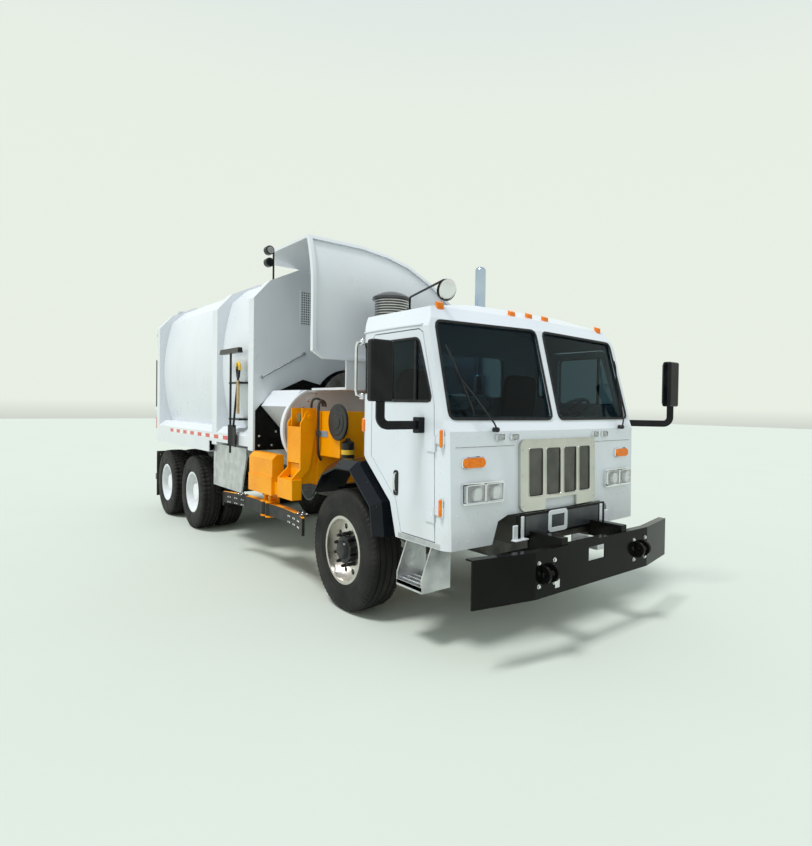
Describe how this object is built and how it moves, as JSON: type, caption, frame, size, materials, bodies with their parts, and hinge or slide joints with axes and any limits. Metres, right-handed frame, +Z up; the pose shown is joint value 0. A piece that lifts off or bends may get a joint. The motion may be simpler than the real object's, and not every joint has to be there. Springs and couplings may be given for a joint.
{
  "type": "garbage truck",
  "caption": "Cab-over refuse truck with a barrel-sided body, side hopper with screw packer, reaching cart lifter and lifting tailgate.",
  "frame": {"origin": "on the ground under the middle of the truck's length and width", "axes": "+X forward, +Y to the driver's left, +Z up"},
  "size_m": [8.6798, 3.244, 3.671],
  "materials": {
    "white_paint": "gloss",
    "body_white": "gloss",
    "black_paint": "satin",
    "chassis_black": "matte",
    "orange_paint": "gloss",
    "polished_steel": "polished",
    "polished_alloy": "polished",
    "tread_plate": "satin",
    "white_rim": "gloss",
    "worn_steel": "brushed",
    "cast_grey": "matte",
    "tyre_rubber": "matte",
    "flap_rubber": "matte",
    "glass": "clear",
    "cabin_plastic": "matte",
    "mirror_shell": "gloss",
    "clear_lens": "clear",
    "amber_lens": "gloss",
    "red_lens": "gloss",
    "seat_fabric": "woven"
  },
  "bodies": {
    "chassis": {"frame_rails": "chassis_black", "engine_block": "cast_grey", "front_axle": "chassis_black", "leaf_springs": "chassis_black", "rear_axles": "cast_grey", "front_bumper": "black_paint", "cab_shell": "white_paint", "cab_glass": "glass", "dashboard": "cabin_plastic", "seats": "seat_fabric", "grille": "polished_steel", "headlamps": "clear_lens", "amber_lamps": "amber_lens", "roof_mirror": "polished_steel", "hand_tools": "cabin_plastic", "work_lights": "black_paint", "front_fenders": "black_paint", "cab_steps": "tread_plate", "exhaust_stack": "polished_steel", "air_intake": "polished_steel", "body_shell": "body_white", "bulkhead_guard": "black_paint", "hopper_trough": "body_white", "hopper_hood": "body_white", "rear_fenders": "body_white", "mud_flaps": "flap_rubber", "side_plates": "tread_plate", "rear_bumper": "chassis_black", "tail_lamps": "red_lens", "fuel_tank": "polished_alloy", "lifter_base": "orange_paint"},
    "tailgate": {"tailgate": "body_white"},
    "tailgate_barrels": {"tailgate_barrels": "chassis_black"},
    "tailgate_rods": {"tailgate_rods": "polished_steel"},
    "packer": {"packer_screw": "worn_steel"},
    "reach": {"reach_carriage": "orange_paint"},
    "lift": {"lift_arm": "orange_paint", "gripper_frame": "orange_paint"},
    "finger_front": {"finger_front": "orange_paint"},
    "finger_rear": {"finger_rear": "orange_paint"},
    "knuckle_right": {"knuckle_right": "cast_grey"},
    "wheel_front_right": {"rim_front_right": "polished_alloy", "tyre_front_right": "tyre_rubber"},
    "door_right": {"door_right": "white_paint", "door_glass_right": "glass", "mirror_right": "mirror_shell"},
    "wheels_rear_1_right": {"rims_rear_1_right": "white_rim", "tyres_rear_1_right": "tyre_rubber"},
    "wheels_rear_2_right": {"rims_rear_2_right": "white_rim", "tyres_rear_2_right": "tyre_rubber"},
    "knuckle_left": {"knuckle_left": "cast_grey"},
    "wheel_front_left": {"rim_front_left": "polished_alloy", "tyre_front_left": "tyre_rubber"},
    "door_left": {"door_left": "white_paint", "door_glass_left": "glass", "mirror_left": "mirror_shell"},
    "wheels_rear_1_left": {"rims_rear_1_left": "white_rim", "tyres_rear_1_left": "tyre_rubber"},
    "wheels_rear_2_left": {"rims_rear_2_left": "white_rim", "tyres_rear_2_left": "tyre_rubber"}
  },
  "joints": [
    {"name": "steer_right", "type": "hinge", "parent": "chassis", "child": "knuckle_right", "pos_m": [2.41, -0.9, 0.54], "axis": [0, 0, 1], "range_deg": [-35, 35]},
    {"name": "roll_front_right", "type": "hinge", "parent": "knuckle_right", "child": "wheel_front_right", "pos_m": [2.41, -1.072, 0.54], "axis": [0, 1, 0], "continuous": true},
    {"name": "door_right", "type": "hinge", "parent": "chassis", "child": "door_right", "pos_m": [3.6718, -1.182, 1.6], "axis": [0, 0, 1], "range_deg": [0, 70]},
    {"name": "roll_rear_1_right", "type": "hinge", "parent": "chassis", "child": "wheels_rear_1_right", "pos_m": [-1.976, -0.905, 0.524], "axis": [0, 1, 0], "continuous": true},
    {"name": "roll_rear_2_right", "type": "hinge", "parent": "chassis", "child": "wheels_rear_2_right", "pos_m": [-3.296, -0.905, 0.524], "axis": [0, 1, 0], "continuous": true},
    {"name": "steer_left", "type": "hinge", "parent": "chassis", "child": "knuckle_left", "pos_m": [2.41, 0.9, 0.54], "axis": [0, 0, 1], "range_deg": [-35, 35]},
    {"name": "roll_front_left", "type": "hinge", "parent": "knuckle_left", "child": "wheel_front_left", "pos_m": [2.41, 1.072, 0.54], "axis": [0, 1, 0], "continuous": true},
    {"name": "door_left", "type": "hinge", "parent": "chassis", "child": "door_left", "pos_m": [3.6718, 1.182, 1.6], "axis": [0, 0, -1], "range_deg": [0, 70]},
    {"name": "roll_rear_1_left", "type": "hinge", "parent": "chassis", "child": "wheels_rear_1_left", "pos_m": [-1.976, 0.905, 0.524], "axis": [0, 1, 0], "continuous": true},
    {"name": "roll_rear_2_left", "type": "hinge", "parent": "chassis", "child": "wheels_rear_2_left", "pos_m": [-3.296, 0.905, 0.524], "axis": [0, 1, 0], "continuous": true},
    {"name": "tailgate_lift", "type": "hinge", "parent": "chassis", "child": "tailgate", "pos_m": [-3.825, 0, 3.425], "axis": [0, 1, 0], "range_deg": [0, 80]},
    {"name": "cylinder_swing", "type": "hinge", "parent": "chassis", "child": "tailgate_barrels", "pos_m": [-3.866, 0, 1.71], "axis": [0, 1, 0], "range_deg": [-15, 0]},
    {"name": "rod_extend", "type": "slide", "parent": "tailgate_barrels", "child": "tailgate_rods", "axis": [0, 0, 1], "range_m": [0, 0.5]},
    {"name": "packer_spin", "type": "hinge", "parent": "chassis", "child": "packer", "pos_m": [0.41, 0, 1.8], "axis": [1, 0, 0], "continuous": true},
    {"name": "arm_reach", "type": "slide", "parent": "chassis", "child": "reach", "axis": [0, -1, 0], "range_m": [0, 1.5]},
    {"name": "arm_lift", "type": "hinge", "parent": "reach", "child": "lift", "pos_m": [1.36, -1.085, 1.7], "axis": [-1, 0, 0], "range_deg": [0, 135]},
    {"name": "finger_rear_close", "type": "hinge", "parent": "lift", "child": "finger_rear", "pos_m": [0.728, -1.215, 0.685], "axis": [0, 0, 1], "range_deg": [0, 80]},
    {"name": "finger_front_close", "type": "hinge", "parent": "lift", "child": "finger_front", "pos_m": [0.852, -1.215, 0.685], "axis": [0, 0, 1], "range_deg": [-80, 0]}
  ],
  "couplings": [
    {"joint": "steer_left", "follows": "steer_right", "ratio": 1},
    {"joint": "cylinder_swing", "follows": "tailgate_lift", "ratio": -0.186},
    {"joint": "rod_extend", "follows": "tailgate_lift", "m_per_rad": 0.3575},
    {"joint": "finger_front_close", "follows": "finger_rear_close", "ratio": -1}
  ]
}
